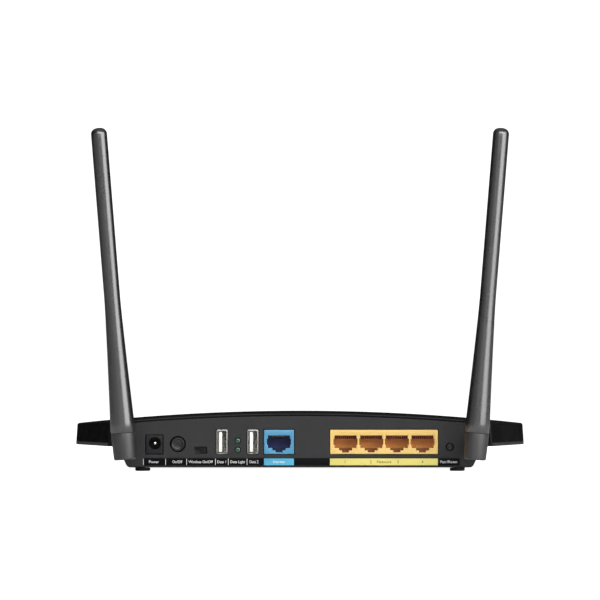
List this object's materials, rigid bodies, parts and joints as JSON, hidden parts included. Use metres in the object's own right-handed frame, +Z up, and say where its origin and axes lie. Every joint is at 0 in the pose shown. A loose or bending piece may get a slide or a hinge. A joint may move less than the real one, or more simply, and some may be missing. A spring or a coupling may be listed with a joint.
{
  "type": "wireless router",
  "caption": "Desktop wireless router with two folding rear antennas, a row of network, data and power sockets on the rear panel, and a bowed glossy cover.",
  "frame": {"origin": "on the desk, under the middle of the whole object with its antennas upright", "axes": "+X to the right when facing the rear connector panel, +Y towards the front edge, +Z up"},
  "size_m": [0.2472, 0.1886, 0.1862],
  "materials": {
    "gloss_black": "polished black moulding",
    "matt_black": "fine spark-eroded grain, dark grey black",
    "antenna_black": "satin black moulding",
    "button_black": "satin black",
    "foot_rubber": "matt rubber",
    "steel": "bright plated sheet",
    "gold_plate": "gold flashed",
    "white_plastic": "white moulding",
    "blue_plastic": "sky blue moulding",
    "orange_plastic": "orange yellow moulding",
    "label_print": "printed film: black, pale blue and pale yellow fields",
    "circuit_board": "green solder mask",
    "chip_black": "moulded package",
    "heat_sink": "extruded",
    "green_lens": "dark green lens",
    "smoked_window": "smoked, flush",
    "clear_light_guide": "clear moulding",
    "cable_jacket": "thin coaxial cable jacket"
  },
  "bodies": {
    "case": {"board_screw_1": "steel", "board_screw_2": "steel", "board_screw_3": "steel", "board_screw_4": "steel", "bottom_case": "matt_black", "case_screw_front_left": "steel", "case_screw_front_right": "steel", "case_screw_rear_left": "steel", "case_screw_rear_right": "steel", "circuit_board": "circuit_board", "foot_front_left": "foot_rubber", "foot_front_right": "foot_rubber", "foot_rear_left": "foot_rubber", "foot_rear_right": "foot_rubber", "internet_contacts": "gold_plate", "internet_socket": "blue_plastic", "lan_contacts_1": "gold_plate", "lan_contacts_2": "gold_plate", "lan_contacts_3": "gold_plate", "lan_contacts_4": "gold_plate", "lan_socket_block": "orange_plastic", "lan_transformer": "chip_black", "left_antenna_jack": "gold_plate", "left_antenna_pigtail": "cable_jacket", "left_antenna_sleeve": "antenna_black", "main_processor": "chip_black", "port_label_strip": "label_print", "power_filter_capacitor": "chip_black", "power_jack": "button_black", "power_jack_pin": "steel", "power_switch_body": "chip_black", "processor_heat_sink": "heat_sink", "radio_shield_can": "steel", "reset_switch_body": "chip_black", "right_antenna_jack": "gold_plate", "right_antenna_pigtail": "cable_jacket", "right_antenna_sleeve": "antenna_black", "status_light_guide": "clear_light_guide", "status_light_window": "smoked_window", "top_cover": "gloss_black", "usb_left_contacts": "gold_plate", "usb_left_shell": "steel", "usb_left_tongue": "white_plastic", "usb_light_lower": "green_lens", "usb_light_upper": "green_lens", "usb_right_contacts": "gold_plate", "usb_right_shell": "steel", "usb_right_tongue": "white_plastic", "wireless_switch_body": "chip_black"},
    "left_antenna_base": {"left_antenna_knuckle": "antenna_black"},
    "left_antenna_whip": {"left_antenna_yoke": "antenna_black", "left_antenna_radome": "antenna_black", "left_antenna_radiator": "gold_plate"},
    "right_antenna_base": {"right_antenna_knuckle": "antenna_black"},
    "right_antenna_whip": {"right_antenna_yoke": "antenna_black", "right_antenna_radome": "antenna_black", "right_antenna_radiator": "gold_plate"},
    "power_button": {"power_button": "button_black"},
    "wireless_switch_knob": {"wireless_switch_knob": "button_black"},
    "reset_button": {"reset_button": "button_black"}
  },
  "joints": [
    {"name": "left_antenna_swivel", "type": "hinge", "parent": "case", "child": "left_antenna_base", "pos_m": [-0.095, -0.0877, 0.0145], "axis": [0, 1, 0], "range_deg": [-85.4, 94.6]},
    {"name": "left_antenna_fold", "type": "hinge", "parent": "left_antenna_base", "child": "left_antenna_whip", "pos_m": [-0.095, -0.0877, 0.0145], "axis": [0.9968, 0, 0.0802], "range_deg": [0, 90]},
    {"name": "right_antenna_swivel", "type": "hinge", "parent": "case", "child": "right_antenna_base", "pos_m": [0.095, -0.0877, 0.0145], "axis": [0, 1, 0], "range_deg": [-94.6, 85.4]},
    {"name": "right_antenna_fold", "type": "hinge", "parent": "right_antenna_base", "child": "right_antenna_whip", "pos_m": [0.095, -0.0877, 0.0145], "axis": [0.9968, 0, -0.0802], "range_deg": [0, 90]},
    {"name": "power_button_press", "type": "slide", "parent": "case", "child": "power_button", "axis": [0, 1, 0], "range_m": [0, 0.0022], "stiffness_N_per_m": 150},
    {"name": "wireless_switch_slide", "type": "slide", "parent": "case", "child": "wireless_switch_knob", "axis": [1, 0, 0], "range_m": [-0.003, 0]},
    {"name": "reset_button_press", "type": "slide", "parent": "case", "child": "reset_button", "axis": [0, 1, 0], "range_m": [0, 0.0008], "stiffness_N_per_m": 150}
  ]
}
